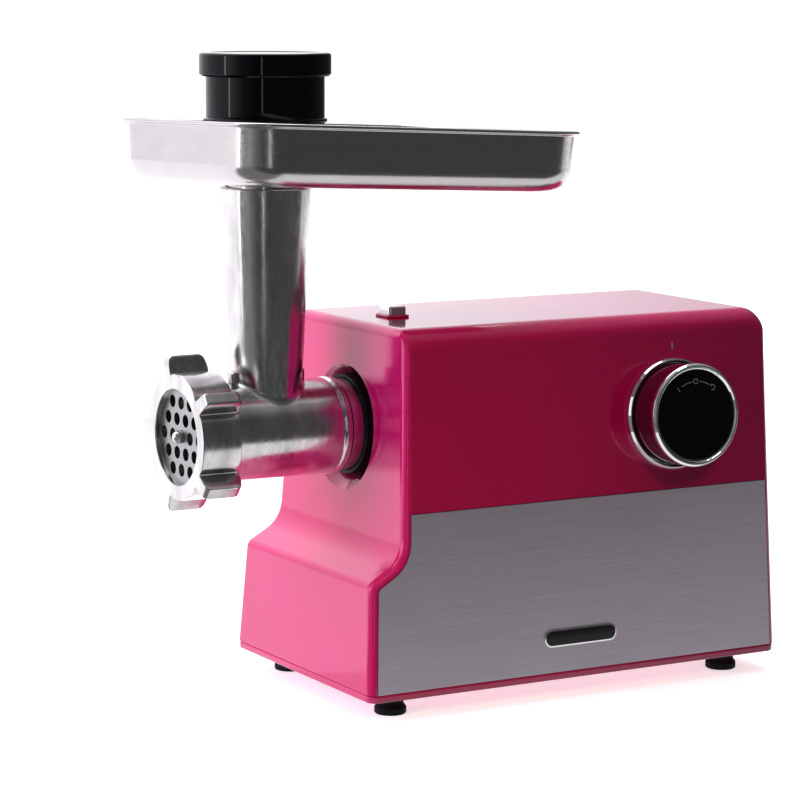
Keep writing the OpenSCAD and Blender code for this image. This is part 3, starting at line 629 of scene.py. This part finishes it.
def make_knob():
    """Knob: a dark side whose crimson colour is a painted reflection of the housing's crimson side wall, a chrome
    rim and a black face, standing in a chrome foot ring.
    """
    at = knob_frame()
    height = KNOB_HEIGHT

    def turned(name, body, material, node, points, radii, steps, segments=160):
        mesh = place(lathe(rounded(points, radii, steps), segments), at)
        piece(even_normals(finish_mesh(name, mesh)), body, MATERIALS[material], node)

    # the knob side's crimson colour is a painted reflection of the housing's crimson side
    turned("knob_side", "knob", "knob_wine", "knob_body",
           [(0, 1.9), (32.4, 1.9), (32.6, height - 3.0), (0, height - 3.0)], [0, 0.8, 0.4, 0], 4, 128)
    turned("knob_rim", "knob", "chrome", "knob_ring",
           [(29.2, height - 4.4), (32.9, height - 4.4), (32.95, height - 1.6), (31.6, height - 0.05),
            (30.5, height - 0.05), (29.9, height - 0.9), (29.2, height - 1.3)],
           [0, 0.5, 1.2, 0.6, 0.4, 0.3, 0], 5)
    turned("knob_disc", "knob", "black_gloss", "knob_face",
           [(0, height - 3), (29.1, height - 3), (29.1, height - 1.5), (28.2, height - 1.1),
            (0, height - 0.75)], [0, 0, 0.4, 0.8, 0], 4)
    turned("knob_foot_ring", "housing", "chrome", "knob_bezel",
           [(22, 0.1), (35.9, 0.1), (35.9, 2.6), (34.8, 4.5), (33.7, 4.5), (33.1, 1.6), (22, 1.6)],
           [0, 0.3, 1.2, 0.5, 0.3, 0.3, 0], 5)
    make_knob_marks(at, height - 0.85)


def arc_strip(radius, width, a0, a1, steps=16):
    """Outline of an arc strip; angles in degrees, clockwise from the top."""
    angles = [math.radians(a0 + (a1 - a0) * i / steps) for i in range(steps + 1)]
    outer = [Vector((math.sin(a), math.cos(a))) * (radius + width / 2) for a in angles]
    inner = [Vector((math.sin(a), math.cos(a))) * (radius - width / 2) for a in reversed(angles)]
    return outer + inner


def make_knob_marks(at, height):
    """Generic marks: a bar for on, a ring for off and a turned arrow for reverse, joined by two arcs."""
    radius, turn, line = 21.5, 38, 0.55
    parts = []

    def mark(outline, angle=0.0, out=0.0):
        spin = Matrix.Rotation(-math.radians(angle), 4, "Z")
        parts.append(place(extruded(outline, 0.16), at @ spin @ Matrix.Translation((0, out, height))))

    mark(arc_strip(radius, line, -turn + 8, -8))
    mark(arc_strip(radius, line, 8, turn - 8))
    mark(rectangle(-line / 2, line / 2, -1.7, 1.7, 0.2, 3), -turn, radius)
    for a0 in (0, 180):
        mark([p for p in arc_strip(1.6, line, a0, a0 + 180, 14)], 0, radius)
    mark(arc_strip(1.6, line, -60, 190, 16), turn, radius)
    tip = Vector((-1.6 * math.sin(math.radians(60)), 1.6 * math.cos(math.radians(60))))
    mark([tip + Vector(p) for p in ((-1.3, 0.1), (0.9, 0.5), (-0.5, -1.3))], turn, radius)
    piece(finish_mesh("knob_marks", joined(*parts)), "knob", MATERIALS["mark_white"])


def make_button():
    """Release button and the raised surround it sinks into."""
    low, high = span("release_button")
    x, y = (high.x - low.x) / 2, (high.y - low.y) / 2
    cap = extruded(rectangle(-x, x, -y, y, 2.6), high.z - low.z, 1.4, 5)
    obj = finish_mesh("button_cap", place(cap, Matrix.Translation((BUTTON_X, 0, low.z))))
    piece(even_normals(obj), "button", MATERIALS["chrome"], "release_button")
    low, high = span("button_bezel")
    x, y = (high.x - low.x) / 2, (high.y - low.y) / 2
    rim = finish_mesh("button_surround", place(extruded(rectangle(-x, x, -y, y, 3.2), high.z - low.z, 0.7, 4),
                                               Matrix.Translation((BUTTON_X, 0, low.z))))
    well = extruded(rectangle(-6.6, 6.6, -8.4, 8.4, 2.2), 6)
    combine(rim, place(well, Matrix.Translation((BUTTON_X, 0, low.z - 2))))
    piece(even_normals(bevelled(rim, 0.2)), "housing", MATERIALS["pink_plastic"], "button_bezel")


# ---------------------------------------------------------------- head

BARREL_R = 30.0
NUT_FRONT, NUT_REAR = NUT_LOW.x, NUT_HIGH.x
HEAD_LOW, HEAD_HIGH = span("head_casting")
BEAD_X = -133.8
NECK_R = 29.2
TUBE_TOP = HEAD_HIGH.z
TUBE_TOP_R, TUBE_LOW_R, TUBE_WALL = 28.2, 21.8, 3.4
TUBE_LOW_Z = AXIS_Z + 16


def tube_radius(z):
    """Outer radius of the feed tube at a height."""
    return TUBE_LOW_R + (TUBE_TOP_R - TUBE_LOW_R) * max(0, z - TUBE_LOW_Z) / (TUBE_TOP - TUBE_LOW_Z)


def feed_tube():
    """Tapered tube whose foot flares into the barrel, with a rounded rim."""
    bm = bmesh.new()
    around, flare, steps = 128, 3.2, 7
    rings = []
    for i in range(around):
        a = TAU * i / around
        c, s = math.cos(a), math.sin(a)

        def saddle(r):
            return AXIS_Z + math.sqrt(max(BARREL_R ** 2 - (r * s) ** 2, 0))

        r0 = tube_radius(AXIS_Z + 20)
        points = [(r0 + flare, AXIS_Z + 5)]
        low, high = saddle(r0 + flare) - 0.2, saddle(r0) + flare * (1.1 - 0.35 * s * s)
        for j in range(steps + 1):
            t = j / steps
            r = (1 - t) ** 2 * (r0 + flare) + 2 * t * (1 - t) * (r0 + 0.2) + t * t * r0
            z = (1 - t) ** 2 * low + 2 * t * (1 - t) * (saddle(r0) + 0.1) + t * t * high
            points.append((r, z))
        for j in range(1, 9):
            z = high + (TUBE_TOP - 1.2 - high) * j / 8
            points.append((tube_radius(z), z))
        points += [(TUBE_TOP_R - 0.1, TUBE_TOP - 0.6), (TUBE_TOP_R - 0.45, TUBE_TOP - 0.15),
                   (TUBE_TOP_R - 1, TUBE_TOP)]
        rings.append([bm.verts.new((TUBE_X + r * c, r * s, z)) for r, z in points])
    for i in range(around):
        a, b = rings[i], rings[(i + 1) % around]
        for j in range(len(a) - 1):
            bm.faces.new((a[j], b[j], b[j + 1], a[j + 1]))
    bm.faces.new([r[-1] for r in rings])
    bm.faces.new([r[0] for r in reversed(rings)])
    return bm


def make_head():
    """One polished casting: barrel, neck bead and feed tube, bored for the auger and the meat."""
    seat = NUT_REAR - 2
    outer = rounded([(0, HEAD_LOW.x), (34.4, HEAD_LOW.x), (34.4, seat), (BARREL_R, seat + 5),
                     (BARREL_R, BEAD_X - 3.4), (BARREL_R + 1, BEAD_X - 1.7), (BARREL_R + 1, BEAD_X + 1.7),
                     (BARREL_R - 0.2, BEAD_X + 3.0), (NECK_R, BEAD_X + 3.4), (NECK_R, HEAD_HIGH.x),
                     (0, HEAD_HIGH.x)],
                    [0, 0.4, 0.4, 3, 1.5, 1.2, 1.0, 0.4, 0.3, 1.0, 0], 5)
    obj = finish_mesh("head", place(lathe(outer, 160), on_axis()), 36)
    combine(obj, feed_tube(), "UNION")
    ears = [place(box_mesh((-3.5, -4, -9), (3.5, 4, 5), 1.6),
                  Matrix.Translation((TUBE_X + s * TUBE_LOW_R, 0, AXIS_Z + 33))) for s in (-1, 1)]
    combine(obj, joined(*ears), "UNION")
    bore = [(0, HEAD_LOW.x - 2), (31.1, HEAD_LOW.x - 2), (31.1, HEAD_LOW.x + 4.9), (27, HEAD_LOW.x + 4.9),
            (27, BEAD_X - 6), (20, BEAD_X - 6), (20, HEAD_HIGH.x - 4), (11, HEAD_HIGH.x - 4),
            (11, HEAD_HIGH.x + 2), (0, HEAD_HIGH.x + 2)]
    combine(obj, place(lathe(bore, 128), on_axis()))
    low_r, top_r = TUBE_LOW_R - TUBE_WALL, TUBE_TOP_R - TUBE_WALL
    throat = [(0, AXIS_Z), (low_r, AXIS_Z), (low_r, TUBE_LOW_Z), (top_r, TUBE_TOP + 0.01),
              (top_r, TUBE_TOP + 3), (0, TUBE_TOP + 3)]
    combine(obj, place(lathe(throat, 96), Matrix.Translation((TUBE_X, 0, 0))), smooth_angle=34)
    piece(even_normals(obj), "head", MATERIALS["cast_aluminium"], "head_casting")


TABS = 5
TAB_FIRST = 73.0
TAB_PITCH = 360 / TABS
TAB_FADE = {4.6: 0.975, 5.1: 0.90, 5.6: 0.66, 6.1: 0.33, 6.7: 0.07}   # share of a tab's rise, by degrees off


def make_nut():
    """Ring nut: a lobed ring with five wing tabs and a flat front flange."""
    tab_r, base_r = 50.4, 39.0
    front, rear = NUT_FRONT, NUT_REAR
    offsets = [0, 2.2, 3.9, 4.6, 5.1, 5.6, 6.1, 6.7, 7.4, 8.4, 10, 12.5, 16, 20, 24, 28, 32, 36]
    half = TAB_PITCH / 2
    angles = sorted({round(k * TAB_PITCH + s * o, 4) for k in range(TABS) for s in (-1, 1) for o in offsets})
    angles = [a for a in angles if -half < a <= 360 - half]

    def tab_share(off):
        if off <= 3.9:
            return 1.0
        if off >= 7.4:
            return 0.0
        return TAB_FADE[round(off, 4)]

    def radius(angle, base, tab):
        off = abs((angle + half) % TAB_PITCH - half)
        lobe = 0.9 * math.cos(math.radians((off - half) * 2.2)) - 0.5
        step = -0.7 * math.exp(-((off - 8.6) / 2.2) ** 2)
        return base + lobe + step + (tab - base) * tab_share(round(off, 4))

    stations = [(front, base_r - 0.9, 42.5), (front + 0.25, base_r - 0.3, 46.0), (front + 0.9, base_r, 48.3),
                (front + 2.0, base_r, 49.7), (front + 3.8, base_r, tab_r), (rear - 5.5, base_r, tab_r),
                (rear - 3.4, base_r, 49.9), (rear - 1.8, base_r, 48.3), (rear - 0.6, base_r - 0.2, 45.6),
                (rear, base_r - 0.9, 43.4)]
    bm = bmesh.new()
    rings = []

    def ring(x, r_of):
        row = []
        for a in angles:
            t = math.radians(TAB_FIRST + a)
            r = r_of(a)
            row.append(bm.verts.new((x, r * math.cos(t), AXIS_Z + r * math.sin(t))))
        rings.append(row)

    inner_front = [(front + 4, 29.5), (front + 1.1, 29.5), (front + 0.35, 29.8), (front, 30.6), (front, 34.6)]
    for x, r in inner_front:
        ring(x, lambda a, r=r: r)
    for x, base, tab in stations:
        ring(x, lambda a, base=base, tab=tab: radius(a, base, tab))
    for x, r in [(rear, 35.4), (rear - 0.7, 34.7), (front + 4, 34.7)]:
        ring(x, lambda a, r=r: r)
    n = len(angles)
    for k in range(len(rings)):
        a, b = rings[k], rings[(k + 1) % len(rings)]
        for i in range(n):
            j = (i + 1) % n
            bm.faces.new((a[i], a[j], b[j], b[i]))
    obj = finish_mesh("nut", bm, 38)
    piece(even_normals(obj), "nut", MATERIALS["cast_aluminium"], "ring_nut")


SHORT_ROW, LONG_ROW = (-1, 0, 1), (-1.5, -0.5, 0.5, 1.5)
PLATE_ROWS = {-2: SHORT_ROW, -1: LONG_ROW, 0: (-2, -1, 1, 2), 1: LONG_ROW, 2: SHORT_ROW}


def make_plate():
    """Cutting plate with its hexagonal rows of holes, their edges slightly broken."""
    low, high = span("cutting_plate")
    thick, pitch = high.x - low.x, 12

    def drill(radius, y, z):
        hole = lathe([(0, -1), (radius, -1), (radius, thick + 1), (0, thick + 1)], 40)
        return place(hole, Matrix.Translation((low.x, y, AXIS_Z + z)) @ ALONG_X)

    disc = lathe(rounded([(0, 0), (30.9, 0), (30.9, thick), (0, thick)], [0, 0.5, 0.5, 0], 3), 160)
    obj = finish_mesh("plate", place(disc, on_axis(low.x)))
    holes = [drill(3.9, column * pitch, row * pitch * math.sin(math.pi / 3))
             for row, columns in PLATE_ROWS.items() for column in columns]
    combine(obj, joined(drill(4.2, 0, 0), *holes))
    piece(even_normals(bevelled(obj, 0.3, 50)), "plate", MATERIALS["plate_steel"], "cutting_plate")


# ---------------------------------------------------------------- tray and pusher

TRAY_SAG, TRAY_LEAN, TRAY_RISE = 2.65, 1.5, 0.8
TRAY_L, TRAY_W, TRAY_D, TRAY_FRONT, LIP_R = 244.0, 195.0, 38.6, 63.5, 33.0


def tray_frame():
    """Matrix of the tray's own frame on the tube, sagging to the rear and leaning to the near side."""
    sag, lean = (math.radians(a) for a in (TRAY_SAG, -TRAY_LEAN))
    return (Matrix.Translation((TUBE_X, 0, TUBE_TOP + TRAY_RISE)) @ Matrix.Rotation(sag, 4, "Y")
            @ Matrix.Rotation(lean, 4, "X"))


def tray_ring(inset, radius, per_corner=10, per_side=6):
    """Rounded rectangle ring of the tray, with points along its sides too."""
    x0, x1 = inset - TRAY_FRONT, TRAY_L - TRAY_FRONT - inset
    y0, y1 = inset - TRAY_W / 2, TRAY_W / 2 - inset
    corners = rectangle(x0, x1, y0, y1, radius, per_corner)
    out = []
    for k in range(4):
        arc = corners[k * (per_corner + 1):(k + 1) * (per_corner + 1)]
        nxt = corners[((k + 1) * (per_corner + 1)) % len(corners)]
        out += arc + [arc[-1] + (nxt - arc[-1]) * j / per_side for j in range(1, per_side)]
    return out


def make_tray():
    """Pressed steel tray with a rolled lip, a rounded foot and a throat into the tube."""
    t = 1.0
    outer = [(0.0, TRAY_D - 1.3, LIP_R), (0.1, TRAY_D - 2.0, LIP_R), (0.6, TRAY_D - 2.5, LIP_R),
             (1.8, TRAY_D - 2.6, LIP_R - 0.5), (2.6, TRAY_D - 3.4, LIP_R - 0.5)]
    wall_foot, foot_r = 3.6, 12.5
    for j in range(7):
        a = math.pi / 2 * j / 6
        outer.append((wall_foot + foot_r * (1 - math.cos(a)), 0.9 + foot_r * (1 - math.sin(a)),
                      LIP_R - 5 * (1 - math.cos(a))))
    inner = [(i + (t if z < TRAY_D - 3 else t * 0.8),
              z + (t if i > 8 else t * (i - 2) / 6 if i > 2 else 0), r) for i, z, r in outer[4:]]
    top = [(2.4, TRAY_D - 0.6, LIP_R - 1.5), (1.7, TRAY_D - 0.08, LIP_R - 0.8), (1.0, TRAY_D, LIP_R - 0.5),
           (0.4, TRAY_D - 0.25, LIP_R - 0.2), (0.05, TRAY_D - 0.8, LIP_R)]
    bm = bmesh.new()

    def loop(points, z):
        return [bm.verts.new((p.x, p.y, z)) for p in points]

    def hole(radius, z, like):
        out = []
        for p in like:
            a = math.atan2(p.y, p.x)
            out.append(bm.verts.new((radius * math.cos(a), radius * math.sin(a), z)))
        return out

    floor = tray_ring(outer[-1][0], outer[-1][2])
    throat = 23.6
    path = [hole(throat, -8, floor), hole(throat, -0.6, floor), hole(throat + 0.5, 0.5, floor),
            hole(throat + 1.8, 0.9, floor)]
    path += [loop(tray_ring(i, r), z) for i, z, r in reversed(outer)]
    path += [loop(tray_ring(i, r), z) for i, z, r in reversed(top)]
    path += [loop(tray_ring(i, r), z) for i, z, r in inner]
    path += [hole(throat + 1.6, 1.9, floor), hole(throat - 0.4, 1.5, floor), hole(throat - 1, 0.4, floor),
             hole(throat - 1, -8, floor)]
    n = len(floor)
    for a, b in zip(path, path[1:] + path[:1]):
        for i in range(n):
            j = (i + 1) % n
            bm.faces.new((a[i], a[j], b[j], b[i]))
    obj = finish_mesh("tray", place(bm, tray_frame()), 50)
    piece(even_normals(obj), "tray", MATERIALS["tray_steel"], "feed_tray")


def make_pusher():
    """Hollow black pusher that doubles as a pot, and its lid."""
    at = Matrix.Translation((TUBE_X, 0, 0))
    low, high = span("pusher_handle")
    flange = 363.0
    r = 36.5
    pot = rounded([(16.1, low.z), (r - 1.5, low.z), (r, low.z + 1.5), (r, flange), (r + 1.6, flange),
                   (r + 1.6, flange + 2.4), (r, flange + 2.4), (r, high.z), (r - 2.5, high.z),
                   (r - 2.5, low.z + 2.5), (16.1, low.z + 2.5)],
                  [0, 0.8, 0.8, 0.4, 0.7, 0.7, 0.4, 0.3, 0.3, 1, 0], 4)
    piece(even_normals(finish_mesh("pusher_pot", place(lathe(pot, 144), at), 36)), "pusher",
          MATERIALS["black_gloss"], "pusher_handle")
    top, foot = CAP_HIGH.z, CAP_HIGH.z - 14.3
    r = (CAP_HIGH.x - CAP_LOW.x) / 2
    lid = rounded([(0, top - 0.35), (33.5, top - 0.35), (34.6, top), (r, top), (r, foot + 1.2),
                   (r - 0.9, foot + 0.1), (33.8, foot + 0.1), (33.8, foot - 6), (32, foot - 6),
                   (32, top - 2.6), (0, top - 2.6)],
                  [0, 0.6, 0.6, 1.9, 0.9, 0.5, 0, 0.3, 0.3, 1, 0], 5)
    piece(even_normals(finish_mesh("pusher_lid", place(lathe(lid, 144), at), 36)), "cap",
          MATERIALS["black_gloss"], "pusher_cap")


# ---------------------------------------------------------------- stage, lights and camera

def make_camera():
    """Camera at the photograph's angle: a long lens from the knob's side and slightly above."""
    azimuth, elevation, roll = (math.radians(a) for a in (-29.83, 8.21, -0.20))
    back = Vector((math.sin(azimuth) * math.cos(elevation), -math.cos(azimuth) * math.cos(elevation),
                   math.sin(elevation)))
    right = Vector((math.cos(azimuth), math.sin(azimuth), 0))
    up = back.cross(right)
    c, s = math.cos(roll), math.sin(roll)
    across, upright = right * c - up * s, right * s + up * c
    data = bpy.data.cameras.new("camera")
    data.sensor_width, data.lens = 36.0, 133.32
    data.clip_start, data.clip_end = 0.1, 50
    camera = bpy.data.objects.new("camera", data)
    camera.matrix_world = Matrix.Translation((-1.01084, -1.62178, 0.45369)) @ Matrix(
        (across, upright, back)).transposed().to_4x4()
    bpy.context.scene.collection.objects.link(camera)
    bpy.context.scene.camera = camera


def area_light(name, place_at, aim, size, power, colour=(1, 1, 1), beam=180):
    """Rectangular soft light; beam is the angle it spreads over, in degrees."""
    data = bpy.data.lights.new(name, "AREA")
    data.shape, data.size, data.size_y = "RECTANGLE", size[0], size[1]
    data.energy, data.color, data.spread = power, colour, math.radians(beam)
    light = bpy.data.objects.new(name, data)
    light.location = place_at
    light.rotation_mode = "QUATERNION"
    light.rotation_quaternion = (Vector(aim) - Vector(place_at)).to_track_quat("-Z", "Y")
    bpy.context.scene.collection.objects.link(light)
    return light


def card(name, corners, seen_by, brightness, colour=(1, 1, 1)):
    """Studio card: a glowing flat panel that only some rays see."""
    bm = bmesh.new()
    bm.faces.new([bm.verts.new(c) for c in corners])
    glowing(finish_mesh(name, bm), seen_by, brightness, colour)


def glowing(obj, seen_by, brightness, colour=(1, 1, 1)):
    """Makes a mesh part of the stage: it glows, casts no shadow and is seen by some rays only."""
    obj.data.materials.append(new_material(
        obj.name, Base_Color=(0, 0, 0, 1), Roughness=1.0, Specular_IOR_Level=0.0,
        Emission_Color=(*colour, 1), Emission_Strength=brightness)[0])
    obj.visible_camera = "camera" in seen_by
    obj.visible_diffuse = "diffuse" in seen_by
    obj.visible_glossy = "glossy" in seen_by
    obj.visible_shadow = obj.visible_transmission = False


BACK_LEFT = (-0.50, 0.86, 0.0)


def make_world():
    """Studio round the object: bright behind and to the left, dim in front of the knob's side."""
    world = bpy.data.worlds.new("world")
    bpy.context.scene.world = world
    world.use_nodes = True
    nodes, links = world.node_tree.nodes, world.node_tree.links
    direction = nodes.new("ShaderNodeTexCoord").outputs["Generated"]

    def lobe(axis, start, end, low, high):
        dot = nodes.new("ShaderNodeVectorMath")
        dot.operation = "DOT_PRODUCT"
        dot.inputs[1].default_value = axis
        links.new(direction, dot.inputs[0])
        ramp = nodes.new("ShaderNodeMapRange")
        ramp.interpolation_type = "SMOOTHSTEP"
        ramp.inputs["From Min"].default_value, ramp.inputs["From Max"].default_value = start, end
        ramp.inputs["To Min"].default_value, ramp.inputs["To Max"].default_value = low, high
        links.new(dot.outputs["Value"], ramp.inputs["Value"])
        return ramp.outputs["Result"]

    def add(a, b):
        node = nodes.new("ShaderNodeMath")
        node.operation = "ADD"
        links.new(a, node.inputs[0])
        links.new(b, node.inputs[1])
        return node.outputs[0]

    sides = add(lobe(BACK_LEFT, 0.1, 0.6, 0.14, 1.1), lobe((-0.97, -0.2, 0.15), 0.8, 0.98, 0.0, 0.2))
    studio = add(sides, lobe((0.0, 0.3, 0.95), 0.25, 0.95, 0.0, 0.45))
    links.new(studio, nodes["Background"].inputs["Strength"])
    nodes["Background"].inputs["Color"].default_value = (1, 0.99, 1.03, 1)


def make_stage():
    """Pale glowing floor, a backdrop only the camera sees, and cards that only gloss and metal reflect."""
    bm = bmesh.new()
    bmesh.ops.create_grid(bm, x_segments=1, y_segments=1, size=3800)
    floor = finish_mesh("floor", bm)
    floor.data.materials.append(new_material(
        "floor", Base_Color=(0.80, 0.80, 0.80, 1), Roughness=0.7, Specular_IOR_Level=0.1,
        Emission_Color=(1, 1, 1, 1), Emission_Strength=0.62)[0])
    floor.visible_glossy = floor.visible_diffuse = False
    backdrop = lathe([(0, 5000), (5500, 5000), (5500, -500), (5490, -500), (5490, 4990), (0, 4990)], 64)
    glowing(finish_mesh("backdrop", backdrop), {"camera"}, 1.1)
    card("floor_far", [(-260, 60, 1), (3000, 60, 1), (3000, 4000, 1), (-6000, 4000, 1), (-6000, 1500, 1)],
         {"glossy"}, 1.35, (1, 0.98, 1.02))
    card("floor_left", [(-6000, -900, 1), (-260, -350, 1), (-260, 60, 1), (-6000, 1500, 1)], {"glossy"}, 0.35)
    card("strip_front", [(-955, -1165, 0), (-915, -1195, 0), (-915, -1195, 700), (-955, -1165, 700)],
         {"glossy"}, 3)
    card("strip_left", [(-1500, 180, 0), (-1500, 260, 0), (-1500, 260, 900), (-1500, 180, 900)],
         {"glossy"}, 5)
    card("floor_near", [(-260, -500, 1), (3000, -500, 1), (3000, 60, 1), (-260, 60, 1)], {"glossy"}, 1.0)


def make_lights():
    """Key light on the front, top light, and a narrow one on the knob's side; key and near do not reflect."""
    centre = (-0.04, 0, 0.2)
    key = area_light("key", (-1.75, 0.0, 0.7), centre, (1.0, 1.0), 9, (1, 0.93, 1.9))
    key.visible_glossy = False
    area_light("top", (0.1, 0.5, 1.9), centre, (1.6, 1.6), 13)
    near = area_light("near", (-0.3, -1.35, 1.0), (-0.12, -0.09, 0.14), (0.35, 0.35), 0.15, (1, 0.97, 0.45),
                      beam=21)
    near.visible_glossy = False


CONTRAST_CURVE = ((0.05, 0.018), (0.2, 0.11), (0.5, 0.37), (0.8, 0.76))


def contrast():
    """Photographic contrast: shadows and middle tones deeper, whites kept."""
    settings = bpy.context.scene.view_settings
    settings.view_transform = "Standard"
    settings.use_curve_mapping = True
    curve = settings.curve_mapping.curves[3]
    for point in CONTRAST_CURVE:
        curve.points.new(*point)
    settings.curve_mapping.update()


def main():
    dress_cad_nodes()
    make_housing()
    make_panels()
    make_badge()
    make_base()
    make_feet()
    make_knob()
    make_button()
    make_head()
    make_nut()
    make_plate()
    make_tray()
    make_pusher()
    make_camera()
    make_stage()
    make_world()
    make_lights()
    contrast()


main()
